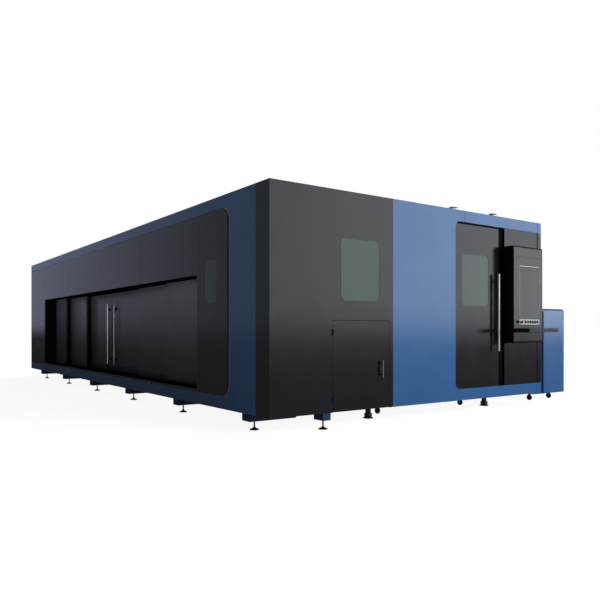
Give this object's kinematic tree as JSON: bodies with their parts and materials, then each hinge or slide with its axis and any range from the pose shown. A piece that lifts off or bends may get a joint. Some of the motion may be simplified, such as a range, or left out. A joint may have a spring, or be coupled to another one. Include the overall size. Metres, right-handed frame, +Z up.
{
  "type": "fiber laser cutting machine",
  "caption": "Enclosed fiber laser cutting machine: flat-bed gantry in a long panelled enclosure with telescopic side doors, sliding front door, operator console and separate cooler cabinet",
  "frame": {"origin": "middle of the footprint of the whole set, on the floor under the feet", "axes": "+Z up, +Y from the operator's front towards the back along the machine's length, +X to the operator's right"},
  "size_m": [5.168, 9.91, 2.405],
  "materials": {
    "blue_paint": "semi-gloss royal blue powder coat",
    "dark_paint": "gloss charcoal black powder coat",
    "black_paint": "matt black paint",
    "grey_paint": "mid grey textured paint",
    "bed_paint": "grey machine enamel",
    "tinted_glass": "green tinted laser-safe acrylic",
    "bright_steel": "brushed",
    "ground_steel": "ground, lightly oiled",
    "mill_steel": "mill finish",
    "zinc": "zinc plated",
    "screen_glass": "dark screen, switched off",
    "plate_pale": "pale mint",
    "black_plastic": "satin",
    "stop_red": "signal red",
    "seal": "black seal",
    "tread": "black rubber tread",
    "tray_grey": "grey powder coat"
  },
  "bodies": {
    "machine": {"bed_frame": "bed_paint", "bed_feet": "zinc", "side_feet": "zinc", "base_frame": "black_paint", "enclosure_frame": "black_paint", "front_left_panel": "dark_paint", "wall_windows": "tinted_glass", "front_surround": "blue_paint", "front_header": "blue_paint", "front_door_frame": "black_paint", "front_right_panel": "dark_paint", "service_hinges": "black_paint", "left_surround": "blue_paint", "left_panels": "dark_paint", "left_gasket": "seal", "doorway_lining": "grey_paint", "door_tracks": "black_paint", "right_trim": "blue_paint", "right_panels": "dark_paint", "back_panels": "dark_paint", "roof": "grey_paint", "guide_rails": "ground_steel", "slats": "mill_steel", "slag_trays": "mill_steel", "laser_source": "grey_paint", "console_housing": "dark_paint", "console_screen": "screen_glass", "button_plate": "plate_pale", "cooler_cabinet": "blue_paint"},
    "front_door": {"front_door": "dark_paint", "front_door_window": "tinted_glass", "front_door_handle": "bright_steel"},
    "service_door": {"service_door": "dark_paint", "service_door_handle": "bright_steel"},
    "near_leaf_1": {"near_leaf_1": "dark_paint"},
    "near_leaf_2": {"near_leaf_2": "dark_paint"},
    "near_leaf_3": {"near_leaf_3": "dark_paint", "near_leaf_handle": "black_plastic"},
    "far_leaf_1": {"far_leaf_1": "dark_paint"},
    "far_leaf_2": {"far_leaf_2": "dark_paint"},
    "far_leaf_3": {"far_leaf_3": "dark_paint", "far_leaf_handle": "black_plastic"},
    "gantry": {"gantry": "grey_paint"},
    "carriage": {"carriage": "black_paint"},
    "cutting_head": {"cutting_head": "ground_steel"},
    "keyboard_tray": {"keyboard_tray": "tray_grey"},
    "emergency_stop": {"emergency_stop": "stop_red"},
    "selector_knob": {"selector_knob": "black_plastic"},
    "cooler_fork_left": {"cooler_fork_left": "zinc"},
    "cooler_fork_right": {"cooler_fork_right": "zinc"},
    "cooler_front_wheel_left": {"cooler_front_wheel_left": "tread"},
    "cooler_front_wheel_right": {"cooler_front_wheel_right": "tread"},
    "cooler_rear_wheel_left": {"cooler_rear_wheel_left": "tread"},
    "cooler_rear_wheel_right": {"cooler_rear_wheel_right": "tread"},
    "push_button_1": {"push_button_1": "black_plastic"},
    "push_button_2": {"push_button_2": "black_plastic"},
    "push_button_3": {"push_button_3": "black_plastic"},
    "push_button_4": {"push_button_4": "black_plastic"},
    "push_button_5": {"push_button_5": "black_plastic"},
    "push_button_6": {"push_button_6": "black_plastic"}
  },
  "joints": [
    {"name": "front_door_slide", "type": "slide", "parent": "machine", "child": "front_door", "axis": [-1, 0, 0], "range_m": [0, 0.7]},
    {"name": "service_door_hinge", "type": "hinge", "parent": "machine", "child": "service_door", "pos_m": [-1.8465, -4.611, 0.62], "axis": [0, 0, -1], "range_deg": [0, 110]},
    {"name": "near_leaf_3_slide", "type": "slide", "parent": "machine", "child": "near_leaf_3", "axis": [0, -1, 0], "range_m": [0, 3.811]},
    {"name": "near_leaf_2_slide", "type": "slide", "parent": "machine", "child": "near_leaf_2", "axis": [0, -1, 0], "range_m": [0, 2.372]},
    {"name": "near_leaf_1_slide", "type": "slide", "parent": "machine", "child": "near_leaf_1", "axis": [0, -1, 0], "range_m": [0, 1.151]},
    {"name": "far_leaf_3_slide", "type": "slide", "parent": "machine", "child": "far_leaf_3", "axis": [0, 1, 0], "range_m": [0, 2.451]},
    {"name": "far_leaf_2_slide", "type": "slide", "parent": "machine", "child": "far_leaf_2", "axis": [0, 1, 0], "range_m": [0, 1.289]},
    {"name": "far_leaf_1_slide", "type": "slide", "parent": "machine", "child": "far_leaf_1", "axis": [0, 1, 0], "range_m": [0, 0.326]},
    {"name": "gantry_slide", "type": "slide", "parent": "machine", "child": "gantry", "axis": [0, 1, 0], "range_m": [0, 6.4]},
    {"name": "carriage_slide", "type": "slide", "parent": "gantry", "child": "carriage", "axis": [1, 0, 0], "range_m": [0, 1.26]},
    {"name": "head_slide", "type": "slide", "parent": "carriage", "child": "cutting_head", "axis": [0, 0, -1], "range_m": [0, 0.09]},
    {"name": "keyboard_tray_hinge", "type": "hinge", "parent": "machine", "child": "keyboard_tray", "pos_m": [1.1385, -4.766, 0.972], "axis": [1, 0, 0], "range_deg": [0, 80]},
    {"name": "emergency_stop_push", "type": "slide", "parent": "machine", "child": "emergency_stop", "axis": [0, 1, 0], "range_m": [0, 0.006], "stiffness_N_per_m": 600},
    {"name": "selector_turn", "type": "hinge", "parent": "machine", "child": "selector_knob", "pos_m": [0.923, -4.743, 1.074], "axis": [0, 1, 0], "range_deg": [-45, 45]},
    {"name": "push_button_1_push", "type": "slide", "parent": "machine", "child": "push_button_1", "axis": [0, 1, 0], "range_m": [0, 0.004], "stiffness_N_per_m": 300},
    {"name": "push_button_2_push", "type": "slide", "parent": "machine", "child": "push_button_2", "axis": [0, 1, 0], "range_m": [0, 0.004], "stiffness_N_per_m": 300},
    {"name": "push_button_3_push", "type": "slide", "parent": "machine", "child": "push_button_3", "axis": [0, 1, 0], "range_m": [0, 0.004], "stiffness_N_per_m": 300},
    {"name": "push_button_4_push", "type": "slide", "parent": "machine", "child": "push_button_4", "axis": [0, 1, 0], "range_m": [0, 0.004], "stiffness_N_per_m": 300},
    {"name": "push_button_5_push", "type": "slide", "parent": "machine", "child": "push_button_5", "axis": [0, 1, 0], "range_m": [0, 0.004], "stiffness_N_per_m": 300},
    {"name": "push_button_6_push", "type": "slide", "parent": "machine", "child": "push_button_6", "axis": [0, 1, 0], "range_m": [0, 0.004], "stiffness_N_per_m": 300},
    {"name": "cooler_fork_left_swivel", "type": "hinge", "parent": "machine", "child": "cooler_fork_left", "pos_m": [1.986, -4.195, 0.087], "axis": [0, 0, 1], "continuous": true},
    {"name": "cooler_front_wheel_left_spin", "type": "hinge", "parent": "cooler_fork_left", "child": "cooler_front_wheel_left", "pos_m": [1.986, -4.173, 0.038], "axis": [1, 0, 0], "continuous": true},
    {"name": "cooler_rear_wheel_left_spin", "type": "hinge", "parent": "machine", "child": "cooler_rear_wheel_left", "pos_m": [1.986, -3.523, 0.038], "axis": [1, 0, 0], "continuous": true},
    {"name": "cooler_fork_right_swivel", "type": "hinge", "parent": "machine", "child": "cooler_fork_right", "pos_m": [2.444, -4.195, 0.087], "axis": [0, 0, 1], "continuous": true},
    {"name": "cooler_front_wheel_right_spin", "type": "hinge", "parent": "cooler_fork_right", "child": "cooler_front_wheel_right", "pos_m": [2.444, -4.173, 0.038], "axis": [1, 0, 0], "continuous": true},
    {"name": "cooler_rear_wheel_right_spin", "type": "hinge", "parent": "machine", "child": "cooler_rear_wheel_right", "pos_m": [2.444, -3.523, 0.038], "axis": [1, 0, 0], "continuous": true}
  ],
  "couplings": [
    {"joint": "near_leaf_2_slide", "follows": "near_leaf_3_slide", "ratio": 0.6224},
    {"joint": "near_leaf_1_slide", "follows": "near_leaf_3_slide", "ratio": 0.302},
    {"joint": "far_leaf_2_slide", "follows": "far_leaf_3_slide", "ratio": 0.5259},
    {"joint": "far_leaf_1_slide", "follows": "far_leaf_3_slide", "ratio": 0.133}
  ]
}
